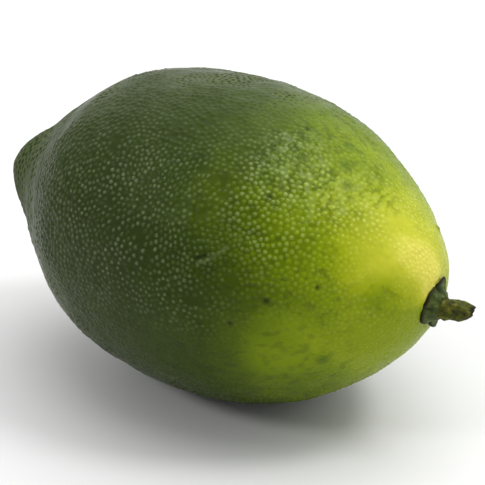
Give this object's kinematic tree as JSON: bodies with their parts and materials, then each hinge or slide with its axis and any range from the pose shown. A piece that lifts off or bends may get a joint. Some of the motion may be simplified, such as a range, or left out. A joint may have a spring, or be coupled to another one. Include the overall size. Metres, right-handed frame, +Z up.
{
  "type": "lime",
  "caption": "Whole green lime lying on its side, with a blunt nipple, pebbled peel, star-shaped calyx and a short stub of stem.",
  "frame": {"origin": "on the resting surface, under the middle of the bounding box of fruit, calyx and stem", "axes": "+X from the nipple to the stem along the fruit's length, +Z up, +Y across the fruit"},
  "size_m": [0.0778, 0.0462, 0.0455],
  "materials": {
    "peel": "satin",
    "calyx": "matte",
    "stem": "matte"
  },
  "bodies": {
    "root": {"lime_fruit": "peel", "calyx": "calyx", "stem": "stem"}
  },
  "joints": []
}
